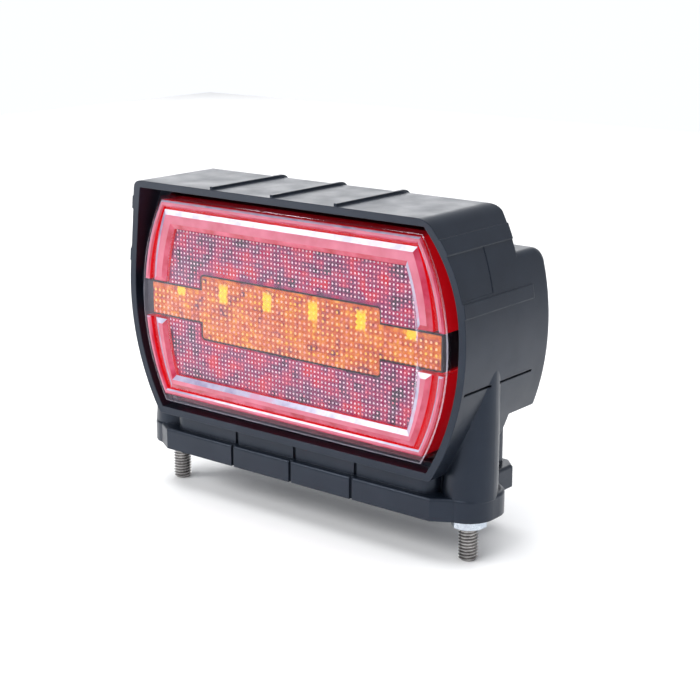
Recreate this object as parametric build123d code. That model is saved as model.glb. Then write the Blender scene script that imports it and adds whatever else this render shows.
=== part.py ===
from build123d import *
import math
import os

# Combined LED rear lamp in a moulded rubber holder with two downward mounting studs.
# Millimetres, +Z up. The lens looks along -Y and +X is to the right seen from the front.
# The origin is on the holder's mounting face, midway between the two stud axes.

# ---- studs and the foot they go through -------------------------------------
STUD_SPACING = 120.0
STUD_R = 3.0
STUD_SHANK_R = 2.7
STUD_FREE_TOP = -4.0
STUD_BELOW_FOOT = 14.5
STUD_END_CHAMFER = 0.8
STUD_HEAD_R = 6.5
STUD_HEAD_T = 3.0
FOOT_T = 7.2
FOOT_FRONT = 12.6
FOOT_BACK = 32.4
FOOT_HALF = 57.0
FOOT_FACE_HALF = 54.5
EAR_R = 9.0
EAR_SPREAD = 3.6
EDGE_ROUND = 1.0
PLATE_T = 2.5
PLATE_LIFT = 2.2
PLATE_HALF_DEPTH = 7.5
PLATE_END_R = 7.5
SEAT_R = 7.0
SEAT_DEPTH = 0.3
NUT_ACROSS_FLATS = 10.0
NUT_T = 3.2
NUT_CHAMFER = 0.5
NUT_TURN = 15.0
NUT_BORE_R = 3.06
WASHER_R = 5.6
WASHER_BORE_R = 3.2
WASHER_T = 0.8
WASHER_TEETH = 10
WASHER_TOOTH_DEPTH = 0.9
WASHER_TOOTH_W = 1.5

# ---- outline of the rubber hood, seen from the front --------------------------
HOOD_TOP = 91.9
HOOD_BOTTOM = 13.0
HOOD_WIDEST_Z = 55.0
HOOD_HALF_TOP = 57.6
HOOD_HALF_MID = 67.6
HOOD_HALF_BOTTOM = 55.6
HOOD_WALL = 2.4
HOOD_TOP_ROUND = 5.0
HOOD_BOTTOM_ROUND = 2.0
ROOF_RIB_RISE = 0.8
ROOF_RIB_START = 1.0

# ---- places along the depth ---------------------------------------------------
RIM_FRONT = -14.4
VISOR_FRONT = -20.6
VISOR_BEND_Z = 62.0
COLLAR_FRONT = -8.8
HOOD_BACK = 16.0
HOOD_BACK_ROUND = 3.0
BODY_BACK = 31.4
BODY_TOP = 77.5
BODY_BOTTOM = 28.0
BODY_ROUND = 2.5
BODY_TOP_ROUND = 5.0
BODY_WALL = 2.6
NECK_HALF = 53.5
NECK_FRONT = -10.2
NECK_BACK = 29.6
NECK_WALL = 3.0
NECK_FRONT_ROUND = 4.5
NECK_BACK_ROUND = 2.5
SINK = 1.0

# ---- columns over the studs -----------------------------------------------------
COLUMN_R_BASE = 8.6
COLUMN_R_TOP = 6.9
COLUMN_TOP = 50.0
COLUMN_LEAN = 2.9

# ---- grooves and bands in the rubber -----------------------------------------------
GROOVE_PITCH = 24.6
GROOVE_W = 1.1
GROOVE_DEPTH = 0.9
NECK_GROOVE_GAP = 1.2
BAND_PROUD = 0.35
UPPER_BAND = (81.7, 86.2)
LOWER_BAND = (63.5, 67.7)
PANEL_DEPTH = 0.15
PANEL_BACK = 1.0
BODY_BAND_BACK = 21.5
SLOT_Z = 41.0
SLOT_W = 0.7
SLOT_SPANS = ((-13.2, 0.2), (4.6, 22.4))

# ---- lens ---------------------------------------------------------------------
LENS_TOP = 86.4
LENS_BOTTOM = 17.7
LENS_MID_Z = 54.0
LENS_HALF_TOP = 52.2
LENS_HALF_MID = 61.6
LENS_HALF_BOTTOM = 52.4
LENS_FRONT = -14.6
LENS_SKIN = 1.2
LENS_SIDE = 0.9
LENS_BACK = -6.0
FRAME_RISE = 0.6
RING_RISE = 0.3
SLOT_DEPTH = 0.7

# ---- light guides: an outer ring and an inner frame, split at mid height ---------------
GUIDE_SIDE_CLEAR = 0.15
RING_TOP = 85.3
RING_BOTTOM = 20.3
RING_INNER_TOP = 83.3
RING_INNER_BOTTOM = 22.1
RING_INNER_HALF_TOP = 50.6
RING_INNER_HALF_MID = 58.6
RING_INNER_HALF_BOTTOM = 51.6
FRAME_TOP = 82.4
FRAME_BOTTOM = 22.8
FRAME_HALF_TOP = 50.4
FRAME_HALF_MID = 56.4
FRAME_HALF_BOTTOM = 49.8
WINDOW_TOP = 76.4
WINDOW_BOTTOM = 27.4
WINDOW_HALF_TOP = 46.3
WINDOW_HALF_MID = 51.0
WINDOW_HALF_BOTTOM = 47.3
GUIDE_BACK = -3.0
UPPER_LEG_END = 58.4
LOWER_LEG_END = 45.8

# ---- inner optics ---------------------------------------------------------------
RED_OPTIC_FRONT = -13.3
RED_OPTIC_BACK = -11.8
AMBER_OPTIC_FRONT = -13.1
AMBER_OPTIC_BACK = -11.6
BAFFLE_FRONT = -13.1
AMBER_HALF = 36.0
AMBER_TOP = 62.0
AMBER_BOTTOM = 41.5
AMBER_ARM_HALF = 58.2
AMBER_ARM_TOP = 57.2
AMBER_ARM_BOTTOM = 47.0
AMBER_ROUND = 1.0
BAFFLE_W = 0.5
PIECE_GAP = 0.1
LEG_CLEAR = 0.2

# ---- reflector, board and light sources --------------------------------------------
TRAY_FRONT = -9.3
TRAY_BACK = -2.9
BOARD_FRONT = -1.9
BOARD_T = 1.6
BOARD_INSET = 0.6
POST_X = 44.0
POST_Z = (26.0, 79.0)
POST_R = 2.6
BOARD_SCREW_R = 1.1
BOARD_SCREW_LENGTH = 7.0
BOARD_SCREW_HEAD_R = 2.2
BOARD_SCREW_HEAD_T = 0.9
TAIL_ROW_Z = (24.6, 79.6)
TAIL_ROW_X = (-36.0, -12.0, 12.0, 36.0)
TAIL_LEG_X = 54.0
TAIL_LEG_Z = (40.0, 63.0)
CHIP_X = -24.0
REGULATOR_Z = 60.0
COIL_Z = 44.0
COIL_SIZE = 8.0
COIL_H = 4.0
CAPACITOR_X = 6.0
CAPACITOR_Z = 62.0
CAPACITOR_R = 3.2
CAPACITOR_H = 5.5
RESISTOR_X = 18.0
RESISTOR_PITCH = 5.0
RESISTOR_COUNT = 5
HEADER_RISE = 10.0
HEADER_W = 12.0
HEADER_H = 5.0
HEADER_DEPTH = 5.5
HEADER_WALL = 1.0
SEAL_OUTER_INSET = 0.1
SEAL_INNER_INSET = 0.8
SEAL_T = 0.8
LED_PITCH_X = 18.6
LED_INDICATOR_COUNT = 6
LED_SIZE = 3.2
LED_H = 0.9
LED_CUP_R_FRONT = 6.5
LED_CUP_R_BACK = 3.2
INDICATOR_Z = 52.0
STOP_Z = (35.0, 68.5)
STOP_COUNT = 5

# ---- lamp shell --------------------------------------------------------------------
SHELL_GROW = 0.8
SHELL_WALL = 1.8
FIT_GAP = 0.1
SHELL_FRONT = -6.0
SHELL_BACK = 10.4
SHELL_FLOOR = 2.2
TUNNEL_HALF = 54.0
TUNNEL_BOTTOM = 30.6
TUNNEL_TOP = 74.9
TUNNEL_ROUND = 3.0
SCREW_X = 40.0
SCREW_Z = 52.0
SPACER_R = 3.6
SCREW_CLEAR = 0.05
SCREW_R = 2.0
SCREW_HEAD_R = 3.8
SCREW_HEAD_T = 2.6
SCREW_LENGTH = 12.0
SCREW_HEAD_ROUND = 1.2
SCREW_HOLE_R = SCREW_R + 0.3
SCREW_CROSS = 4.0
SCREW_CROSS_W = 1.0
CUP_WASHER_R = 5.2
CUP_WASHER_T = 1.0

# ---- cable way ------------------------------------------------------------------------
CABLE_WAY_FLOOR = 1.4
GLAND_Z = 19.0
GLAND_BORE_R = 3.4
GLAND_NECK_R = 5.4
GLAND_FLANGE_R = 8.0
GLAND_FLANGE_T = 1.6
GLAND_TAIL = 2.4
GLAND_TAIL_R = 5.6
GLAND_TAIL_R_END = 4.6
GLAND_INNER_FLANGE_R = 7.0
GLAND_FIT = 0.02
LEAD_EXIT_X = 0.0
LEAD_EXIT_Z = 38.0
GROMMET_NECK_R = 4.6
GROMMET_LIP_R = 6.2
GROMMET_LIP_T = 1.8
GROMMET_BORE_R = 3.0
VENT_X = 30.0
VENT_Z = 66.0
VENT_R = 4.0
VENT_STEM_R = 2.5
VENT_CAP_T = 1.6

os.makedirs("parts", exist_ok=True)


def front_plane(y):
    """A drawing plane at depth y: sketch x is +X, sketch y is +Z, extrusions run to the front."""
    return Plane(origin=(0, y, 0), x_dir=(1, 0, 0), z_dir=(0, -1, 0))


def slab(face, y_front, y_back):
    """The face, drawn in x and z, as a solid from y_back forward to y_front."""
    return extrude(front_plane(y_back) * face, amount=y_back - y_front)


def barrel(half_top, half_mid, half_bottom, z_top, z_mid, z_bottom):
    """A face with flat top and bottom and two outward curved sides."""
    top_left = (-half_top, z_top)
    top_right = (half_top, z_top)
    bottom_right = (half_bottom, z_bottom)
    bottom_left = (-half_bottom, z_bottom)
    outline = [
        Line(top_left, top_right),
        ThreePointArc(top_right, (half_mid, z_mid), bottom_right),
        Line(bottom_right, bottom_left),
        ThreePointArc(bottom_left, (-half_mid, z_mid), top_left),
    ]
    return make_face(outline)


def grown(face, amount):
    """The face with its outline moved out by amount, sharp corners kept."""
    return offset(face, amount=amount, kind=Kind.INTERSECTION)


def rounded_box(half_x, z_low, z_high, radius):
    """A face: a rectangle about x = 0 with rounded corners."""
    middle = (z_low + z_high) / 2
    return Pos(0, middle) * RectangleRounded(2 * half_x, z_high - z_low, radius)


def block(x_low, x_high, y_low, y_high, z_low, z_high):
    """A plain box between two corners."""
    size = (x_high - x_low, y_high - y_low, z_high - z_low)
    centre = ((x_low + x_high) / 2, (y_low + y_high) / 2, (z_low + z_high) / 2)
    return Pos(*centre) * Box(*size)


def rod_z(x, y, z_low, z_high, radius, radius_top=None):
    """An upright round bar, tapered when radius_top is given."""
    height = z_high - z_low
    place = Pos(x, y, z_low + height / 2)
    if radius_top is None:
        return place * Cylinder(radius, height)
    return place * Cone(radius, radius_top, height)


def rod_y(x, z, y_front, y_back, radius, radius_front=None):
    """A round bar along the depth, tapered when radius_front is given."""
    length = y_back - y_front
    place = front_plane((y_front + y_back) / 2) * Pos(x, z, 0)
    if radius_front is None:
        return place * Cylinder(radius, length)
    return place * Cone(radius, radius_front, length)


def on_both_sides(make):
    """make(-1) and make(+1) together."""
    return make(-1) + make(1)


def as_group(pieces):
    """Separate solids kept in one node."""
    return Compound(children=list(pieces))


# ---- outlines used by several pieces ---------------------------------------------------
def hood_face():
    return barrel(
        HOOD_HALF_TOP, HOOD_HALF_MID, HOOD_HALF_BOTTOM, HOOD_TOP, HOOD_WIDEST_Z, HOOD_BOTTOM
    )


def lens_face():
    return barrel(
        LENS_HALF_TOP, LENS_HALF_MID, LENS_HALF_BOTTOM, LENS_TOP, LENS_MID_Z, LENS_BOTTOM
    )


def frame_face():
    return barrel(
        FRAME_HALF_TOP, FRAME_HALF_MID, FRAME_HALF_BOTTOM, FRAME_TOP, LENS_MID_Z, FRAME_BOTTOM
    )


def window_face():
    return barrel(
        WINDOW_HALF_TOP, WINDOW_HALF_MID, WINDOW_HALF_BOTTOM, WINDOW_TOP, LENS_MID_Z, WINDOW_BOTTOM
    )


def lens_cavity_face():
    return grown(lens_face(), -LENS_SIDE)


def ring_outer_face():
    inside = grown(lens_face(), -LENS_SIDE - GUIDE_SIDE_CLEAR)
    band = Pos(0, (RING_TOP + RING_BOTTOM) / 2) * Rectangle(160, RING_TOP - RING_BOTTOM)
    return inside & band


def ring_inner_face():
    return barrel(
        RING_INNER_HALF_TOP,
        RING_INNER_HALF_MID,
        RING_INNER_HALF_BOTTOM,
        RING_INNER_TOP,
        LENS_MID_Z,
        RING_INNER_BOTTOM,
    )


# ---- rubber holder -----------------------------------------------------------------
def foot_face():
    """Plan of the foot: a straight front, an ear round each stud and a narrower back."""
    side = STUD_SPACING / 2
    ear_front = Pos(side - 0.5, 0) * Circle(EAR_R)
    ear_back = Pos(side - 0.5, EAR_SPREAD) * Circle(EAR_R)
    ear_middle = Pos(side - 0.5, EAR_SPREAD / 2) * Rectangle(2 * EAR_R, EAR_SPREAD)
    ear = ear_front + ear_back + ear_middle
    corner = FOOT_FACE_HALF + 6.0
    outline = Polyline(
        (-FOOT_FACE_HALF, -FOOT_FRONT),
        (FOOT_FACE_HALF, -FOOT_FRONT),
        (corner, -EAR_R),
        (corner, EAR_SPREAD),
        (FOOT_HALF, EAR_SPREAD + EAR_R + 2.0),
        (FOOT_HALF, FOOT_BACK - 4.0),
        (FOOT_HALF - 4.0, FOOT_BACK),
        (4.0 - FOOT_HALF, FOOT_BACK),
        (-FOOT_HALF, FOOT_BACK - 4.0),
        (-FOOT_HALF, EAR_SPREAD + EAR_R + 2.0),
        (-corner, EAR_SPREAD),
        (-corner, -EAR_R),
        close=True,
    )
    return make_face(outline) + ear + mirror(ear, about=Plane.YZ)


def foot_body():
    foot = extrude(foot_face(), amount=FOOT_T)
    top_edges = foot.faces().sort_by(Axis.Z)[-1].edges()
    return fillet(top_edges, EDGE_ROUND)


def visor_front_cut():
    """What is cut away in front of the hood: a flat lower part that sweeps out into the visor."""
    far = -60.0
    bend = (RIM_FRONT, VISOR_BEND_Z)
    tip = (VISOR_FRONT, HOOD_TOP)
    outline = [
        Line((far, 0), (RIM_FRONT, 0)),
        Line((RIM_FRONT, 0), bend),
        TangentArc([bend, tip], tangent=(0, 1)),
        Line(tip, (VISOR_FRONT, 120)),
        Line((VISOR_FRONT, 120), (far, 120)),
        Line((far, 120), (far, 0)),
    ]
    return side_prism(outline)


def hood_section(top):
    """The hood's outline up to a flat top, with rounded corners."""
    face = hood_face() & (Pos(0, top - 60) * Rectangle(200, 120))
    corners = face.vertices().sort_by(Axis.Y)
    face = fillet(corners[-2:], HOOD_TOP_ROUND)
    corners = face.vertices().sort_by(Axis.Y)
    return fillet(corners[:2], HOOD_BOTTOM_ROUND)


def side_prism(outline):
    """A profile drawn in y and z as a solid across the whole width."""
    profile = Plane(origin=(100, 0, 0), x_dir=(0, 1, 0), z_dir=(1, 0, 0)) * make_face(outline)
    return extrude(profile, amount=-200)


def hood_side_profile(growth=0.0):
    """Side view of the hood with the rounded back of its roof, both moved out by growth."""
    roof = HOOD_TOP + growth
    back = HOOD_BACK + growth
    round_start = (HOOD_BACK - HOOD_BACK_ROUND, roof)
    round_end = (back, HOOD_TOP - HOOD_BACK_ROUND)
    return [
        Line((VISOR_FRONT, 0), (VISOR_FRONT, roof)),
        Line((VISOR_FRONT, roof), round_start),
        RadiusArc(round_start, round_end, HOOD_BACK_ROUND + growth),
        Line(round_end, (back, 0)),
        Line((back, 0), (VISOR_FRONT, 0)),
    ]


def hood_body():
    """The barrel shaped hood with its rounded back edge, still solid."""
    hood = slab(hood_section(HOOD_TOP), VISOR_FRONT, HOOD_BACK)
    return hood & side_prism(hood_side_profile())


def roof_ribs():
    """Thin raised ribs over the roof, which run down its rounded back."""
    profile = side_prism(hood_side_profile(ROOF_RIB_RISE))
    ribs = []
    for index in (-1, 0, 1):
        x = index * GROOVE_PITCH
        front = VISOR_FRONT + ROOF_RIB_START
        strip = block(x - GROOVE_W / 2, x + GROOVE_W / 2, front, HOOD_BACK + 2, BODY_TOP - 1, HOOD_TOP + 2)
        ribs.append(strip & profile)
    return ribs


def rear_body():
    """The deeper rear part, flush with the hood's sides."""
    band = rounded_box(80, BODY_BOTTOM, BODY_TOP, 0.5)
    body = slab(hood_face() & band, HOOD_BACK - 3.0, BODY_BACK)
    back = body.faces().sort_by(Axis.Y)[-1]
    body = fillet(back.edges().sort_by(Axis.Z)[-1], BODY_TOP_ROUND)
    back = body.faces().sort_by(Axis.Y)[-1]
    return fillet(back.edges().sort_by(Axis.Z)[:-1], BODY_ROUND)


def neck_body():
    """Hollow neck between foot and hood, with rounded upright edges."""
    neck = block(-NECK_HALF, NECK_HALF, NECK_FRONT, NECK_BACK, FOOT_T - SINK, BODY_BOTTOM + 4.0)
    upright = neck.edges().filter_by(Axis.Z).sort_by(Axis.Y)
    neck = fillet(upright[:2], NECK_FRONT_ROUND)
    upright = neck.edges().filter_by(Axis.Z).sort_by(Axis.Y)
    return fillet(upright[-2:], NECK_BACK_ROUND)


def column(side):
    """The tapered column over one stud. It leans back a little and dies into the hood's side."""
    x = side * STUD_SPACING / 2
    base = Plane(origin=(x, 0, FOOT_T - SINK)) * Circle(COLUMN_R_BASE)
    top = Plane(origin=(x, COLUMN_LEAN, COLUMN_TOP)) * Circle(COLUMN_R_TOP)
    return loft([base, top])


def side_layer(z_range, y_front, y_back, inner_growth, outer_growth):
    """The part of the hood's skin between two offsets of its outline, in a band of heights."""
    band = rounded_box(90, z_range[0], z_range[1], 0.1)
    skin = (grown(hood_face(), outer_growth) - grown(hood_face(), inner_growth)) & band
    return slab(skin, y_front, y_back)


def raised_bands():
    upper = side_layer(UPPER_BAND, VISOR_FRONT, HOOD_BACK, -1.0, BAND_PROUD)
    lower = side_layer(LOWER_BAND, VISOR_FRONT, BODY_BAND_BACK, -1.0, BAND_PROUD)
    return upper + lower


def sunk_panels():
    between = (LOWER_BAND[1] + 0.8, UPPER_BAND[0] - 0.2)
    return side_layer(between, RIM_FRONT - 8.0, PANEL_BACK, -PANEL_DEPTH, 1.0)


def side_slots():
    """Thin grooves along the sides, one ahead of each column and one behind it."""
    height = (SLOT_Z - SLOT_W / 2, SLOT_Z + SLOT_W / 2)
    front, back = [side_layer(height, span[0], span[1], -GROOVE_DEPTH, 1.0) for span in SLOT_SPANS]
    return front + back


def cross_grooves():
    """Upright grooves in the front of the foot and the neck, in line with the roof's ribs."""
    cutters = []
    for index in (-1, 0, 1):
        x_low = index * GROOVE_PITCH - GROOVE_W / 2
        x_high = x_low + GROOVE_W
        cutters.append(block(x_low, x_high, -FOOT_FRONT - 1, -FOOT_FRONT + GROOVE_DEPTH, -1, FOOT_T + 1))
        neck_top = HOOD_BOTTOM - NECK_GROOVE_GAP
        cutters.append(block(x_low, x_high, NECK_FRONT - 1, NECK_FRONT + GROOVE_DEPTH, FOOT_T, neck_top))
    return cutters


def holder_hollows():
    """The recess ahead of the lamp, the lamp's pocket, the space behind it and the cable way."""
    recess = slab(grown(hood_face(), -HOOD_WALL), VISOR_FRONT - 20, COLLAR_FRONT)
    pocket = slab(grown(shell_face(), FIT_GAP), COLLAR_FRONT - 1, SHELL_BACK)
    tunnel_face = rounded_box(TUNNEL_HALF, TUNNEL_BOTTOM, TUNNEL_TOP, TUNNEL_ROUND)
    tunnel = slab(tunnel_face, SHELL_BACK - 1, BODY_BACK - BODY_WALL)
    cable_way = block(
        NECK_WALL - NECK_HALF,
        NECK_HALF - NECK_WALL,
        SHELL_BACK + NECK_WALL,
        NECK_BACK - NECK_WALL,
        FOOT_T + CABLE_WAY_FLOOR,
        TUNNEL_BOTTOM + 2,
    )
    gland_hole = rod_y(0, GLAND_Z, NECK_BACK - NECK_WALL - 1, NECK_BACK + 1, GLAND_NECK_R)
    screw_holes = on_both_sides(
        lambda side: rod_y(side * SCREW_X, SCREW_Z, BODY_BACK - BODY_WALL - 1, BODY_BACK + 1, SCREW_HOLE_R)
    )
    return [recess, pocket, tunnel, cable_way, gland_hole, screw_holes]


def rubber_holder():
    holder = hood_body() + raised_bands() - sunk_panels() - visor_front_cut()
    for roof_rib in roof_ribs():
        holder += roof_rib
    holder += rear_body()
    holder += neck_body()
    holder += on_both_sides(column)
    holder += foot_body()
    for hollow in holder_hollows():
        holder -= hollow
    holder -= side_slots()
    for cutter in cross_grooves():
        holder -= cutter
    holder -= on_both_sides(lambda side: rod_z(side * STUD_SPACING / 2, 0, -1, SEAT_DEPTH, SEAT_R))
    holder -= anchor_plate()
    holder -= on_both_sides(stud)
    return holder


# ---- steel parts of the foot -------------------------------------------------------------
def anchor_plate():
    """Flat steel bar moulded into the foot; both studs stand on it."""
    half = STUD_SPACING / 2
    top = PLATE_LIFT + PLATE_T
    bar = block(-half, half, -PLATE_HALF_DEPTH, PLATE_HALF_DEPTH, PLATE_LIFT, top)
    bar += on_both_sides(lambda side: rod_z(side * half, 0, PLATE_LIFT, top, PLATE_END_R))
    return bar - on_both_sides(lambda side: rod_z(side * half, 0, -1, top + 1, STUD_SHANK_R))


def stud(side):
    """Stud with a flat round head on the anchor plate. Its free end is a touch thicker than its shank."""
    x = side * STUD_SPACING / 2
    seat = PLATE_LIFT + PLATE_T
    free_end = rod_z(x, 0, -STUD_BELOW_FOOT, STUD_FREE_TOP, STUD_R)
    free_end = chamfer(free_end.edges().sort_by(Axis.Z)[0], STUD_END_CHAMFER)
    shank = rod_z(x, 0, STUD_FREE_TOP, seat, STUD_SHANK_R)
    head = rod_z(x, 0, seat, seat + STUD_HEAD_T, STUD_HEAD_R)
    return free_end + shank + head


def lock_washer(side):
    """Thin washer with teeth round its rim, seated in the foot's shallow recess."""
    x = side * STUD_SPACING / 2
    tooth_middle = WASHER_R - WASHER_TOOTH_DEPTH
    ring = Circle(tooth_middle)
    tooth = Pos(tooth_middle, 0) * Rectangle(2 * WASHER_TOOTH_DEPTH, WASHER_TOOTH_W)
    for index in range(WASHER_TEETH):
        ring += Rot(0, 0, 360 / WASHER_TEETH * index) * tooth
    ring = (ring & Circle(WASHER_R)) - Circle(WASHER_BORE_R)
    return Pos(x, 0, SEAT_DEPTH - WASHER_T) * extrude(ring, amount=WASHER_T)


def nut(side):
    """Thin hexagon nut with its corners chamfered on both faces. Its bore just clears the stud."""
    x = side * STUD_SPACING / 2
    corner_r = NUT_ACROSS_FLATS / math.sqrt(3)
    hexagon = extrude(Rot(0, 0, NUT_TURN) * RegularPolygon(corner_r, 6), amount=NUT_T)
    round_blank = Pos(0, 0, NUT_T / 2) * Cylinder(corner_r + NUT_CHAMFER / 10, NUT_T)
    round_blank = chamfer(round_blank.edges().filter_by(GeomType.CIRCLE), NUT_CHAMFER, 2 * NUT_CHAMFER)
    body = (hexagon & round_blank) - Cylinder(NUT_BORE_R, 4 * NUT_T)
    return Pos(x, 0, SEAT_DEPTH - WASHER_T - NUT_T) * body


# ---- lens and shell -----------------------------------------------------------------------
def half_band(upper):
    """A tall face over the upper or under the lower ends of the guides' legs."""
    if upper:
        return Pos(0, UPPER_LEG_END + 50) * Rectangle(200, 100)
    return Pos(0, LOWER_LEG_END - 50) * Rectangle(200, 100)


def shell_face():
    return grown(lens_face(), SHELL_GROW)


def lens():
    """Clear cover, hollow behind, with the red guides let into it and a groove between them."""
    cover = slab(lens_face(), LENS_FRONT, LENS_BACK)
    cover -= slab(lens_cavity_face(), LENS_FRONT + LENS_SKIN, LENS_BACK + 1)
    for upper in (True, False):
        groove = (ring_inner_face() - frame_face()) & half_band(upper)
        cover -= slab(groove, LENS_FRONT - 1, LENS_FRONT + SLOT_DEPTH)
        cover -= ring_guide(upper)
        cover -= frame_guide(upper)
    return cover


def lens_seal():
    """Thin gasket between the cover's back edge and the shell."""
    ring = grown(lens_face(), -SEAL_OUTER_INSET) - grown(lens_face(), -SEAL_INNER_INSET)
    return slab(ring, LENS_BACK, LENS_BACK + SEAL_T)


def post_places():
    return [(x, z) for x in (-POST_X, POST_X) for z in POST_Z]


def board_posts():
    """Posts in the shell that the board is screwed to. Their feet run into the shell's floor."""
    foot = SHELL_BACK - SHELL_FLOOR + SINK / 2
    return [rod_y(x, z, BOARD_FRONT + BOARD_T, foot, POST_R) for x, z in post_places()]


def board_screws():
    screws = []
    for x, z in post_places():
        head = rod_y(x, z, BOARD_FRONT - BOARD_SCREW_HEAD_T, BOARD_FRONT, BOARD_SCREW_HEAD_R)
        shank = rod_y(x, z, BOARD_FRONT, BOARD_FRONT + BOARD_SCREW_LENGTH, BOARD_SCREW_R)
        screws.append(head + shank)
    return screws


def lamp_shell():
    """Black casing behind the lens, with posts for the board and two bosses for its screws."""
    shell = slab(shell_face(), SHELL_FRONT, SHELL_BACK)
    inside = grown(shell_face(), -SHELL_WALL)
    shell -= slab(inside, SHELL_FRONT - 1, SHELL_BACK - SHELL_FLOOR)
    for post in board_posts():
        shell += post
    floor_front = SHELL_BACK - SHELL_FLOOR
    for side in (-1, 1):
        shell -= rod_y(side * SCREW_X, SCREW_Z, floor_front - 1, SHELL_BACK + 1, SPACER_R)
    shell -= rod_y(LEAD_EXIT_X, LEAD_EXIT_Z, floor_front - 1, SHELL_BACK + 1, GROMMET_NECK_R)
    shell -= rod_y(VENT_X, VENT_Z, floor_front - 1, SHELL_BACK + 1, VENT_STEM_R)
    shell -= lens_seal()
    for screw in board_screws():
        shell -= screw
    return shell


def threaded_spacer(side):
    """Round pillar fixed in the shell's floor, which the holder's back wall is screwed to."""
    spacer_back = BODY_BACK - BODY_WALL
    floor_front = SHELL_BACK - SHELL_FLOOR
    pillar = rod_y(side * SCREW_X, SCREW_Z, floor_front, spacer_back, SPACER_R)
    return pillar - rod_y(side * SCREW_X, SCREW_Z, SHELL_BACK, spacer_back + 1, SCREW_R + SCREW_CLEAR)


def lead_grommet():
    """Rubber ring in the shell's floor round the lead's wires."""
    floor_front = SHELL_BACK - SHELL_FLOOR
    ring = rod_y(LEAD_EXIT_X, LEAD_EXIT_Z, floor_front, SHELL_BACK + GROMMET_LIP_T, GROMMET_NECK_R)
    ring += rod_y(LEAD_EXIT_X, LEAD_EXIT_Z, SHELL_BACK, SHELL_BACK + GROMMET_LIP_T, GROMMET_LIP_R)
    return ring - rod_y(LEAD_EXIT_X, LEAD_EXIT_Z, floor_front - 1, SHELL_BACK + 10, GROMMET_BORE_R)


def shell_screw(side):
    """Screw with a cross recess, through the holder's back wall into a pillar of the shell."""
    head_seat = BODY_BACK + CUP_WASHER_T
    shank = rod_y(side * SCREW_X, SCREW_Z, head_seat - SCREW_LENGTH, head_seat, SCREW_R)
    head = rod_y(side * SCREW_X, SCREW_Z, head_seat, head_seat + SCREW_HEAD_T, SCREW_HEAD_R)
    head = fillet(head.edges().sort_by(Axis.Y)[-1], SCREW_HEAD_ROUND)
    cross = Rectangle(SCREW_CROSS, SCREW_CROSS_W) + Rectangle(SCREW_CROSS_W, SCREW_CROSS)
    recess_front = head_seat + SCREW_HEAD_ROUND
    recess = slab(Pos(side * SCREW_X, SCREW_Z) * cross, recess_front, head_seat + SCREW_HEAD_T + 1)
    return shank + head - recess


def screw_washer(side):
    ring = rod_y(side * SCREW_X, SCREW_Z, BODY_BACK, BODY_BACK + CUP_WASHER_T, CUP_WASHER_R)
    return ring - rod_y(side * SCREW_X, SCREW_Z, BODY_BACK - 1, BODY_BACK + 2, SCREW_HOLE_R)


# ---- light guides and inner optics ------------------------------------------------------------
def ring_guide(upper):
    """Half of the outer light guide, a red rib that stands a little proud of the cover."""
    face = (ring_outer_face() - ring_inner_face()) & half_band(upper)
    return slab(face, LENS_FRONT - RING_RISE, GUIDE_BACK)


def frame_guide(upper):
    """Half of the inner light guide, a broader red rib round the window."""
    face = (frame_face() - window_face()) & half_band(upper)
    return slab(face, LENS_FRONT - FRAME_RISE, GUIDE_BACK)


def arms_face(end_half, low, high):
    return Pos(0, (low + high) / 2) * Rectangle(2 * end_half, high - low)


def tray_face():
    """The window with two arms that run out between the guides' legs."""
    arms = arms_face(AMBER_ARM_HALF + BAFFLE_W, LOWER_LEG_END + LEG_CLEAR, UPPER_LEG_END - LEG_CLEAR)
    return grown(window_face(), -PIECE_GAP) + arms


def amber_face(growth=0.0):
    width = 2 * (AMBER_HALF + growth)
    height = AMBER_TOP - AMBER_BOTTOM + 2 * growth
    core = RectangleRounded(width, height, AMBER_ROUND + growth)
    arms = arms_face(AMBER_ARM_HALF + growth, AMBER_ARM_BOTTOM - growth, AMBER_ARM_TOP + growth)
    return Pos(0, (AMBER_TOP + AMBER_BOTTOM) / 2) * core + arms


def amber_optic():
    """Amber panel of the indicator, a block with two arms."""
    return slab(amber_face(), AMBER_OPTIC_FRONT, AMBER_OPTIC_BACK)


def light_baffle():
    """Thin black wall that keeps the indicator's light out of the red panels."""
    wall = amber_face(PIECE_GAP + BAFFLE_W) - amber_face(PIECE_GAP)
    return slab(wall, BAFFLE_FRONT, TRAY_FRONT - 0.1)


def red_optic(upper):
    """Red panel of the stop light, above or below the indicator."""
    face = grown(window_face(), -PIECE_GAP) - amber_face(2 * PIECE_GAP + BAFFLE_W)
    middle = INDICATOR_Z + 50 if upper else INDICATOR_Z - 50
    return slab(face & (Pos(0, middle) * Rectangle(200, 100)), RED_OPTIC_FRONT, RED_OPTIC_BACK)


def indicator_places():
    first = -(LED_INDICATOR_COUNT - 1) / 2
    return [((first + index) * LED_PITCH_X, INDICATOR_Z) for index in range(LED_INDICATOR_COUNT)]


def stop_places():
    first = -(STOP_COUNT - 1) / 2
    return [((first + index) * LED_PITCH_X, z) for z in STOP_Z for index in range(STOP_COUNT)]


def tail_places():
    """Light sources under the guides: a row along the top and bottom and two beside each leg."""
    across = [(x, z) for z in TAIL_ROW_Z for x in TAIL_ROW_X]
    legs = [(side * TAIL_LEG_X, z) for side in (-1, 1) for z in TAIL_LEG_Z]
    return across + legs


def led_cup(place):
    x, z = place
    return rod_y(x, z, TRAY_FRONT, TRAY_BACK, LED_CUP_R_BACK, LED_CUP_R_FRONT)


def reflector_tray():
    """Bright tray with one cone shaped cup for each indicator and stop light source."""
    tray = slab(tray_face(), TRAY_FRONT, TRAY_BACK)
    for place in indicator_places() + stop_places():
        tray -= led_cup(place)
    return tray


def led(place):
    x, z = place
    half = LED_SIZE / 2
    return block(x - half, x + half, BOARD_FRONT - LED_H, BOARD_FRONT, z - half, z + half)


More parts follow.
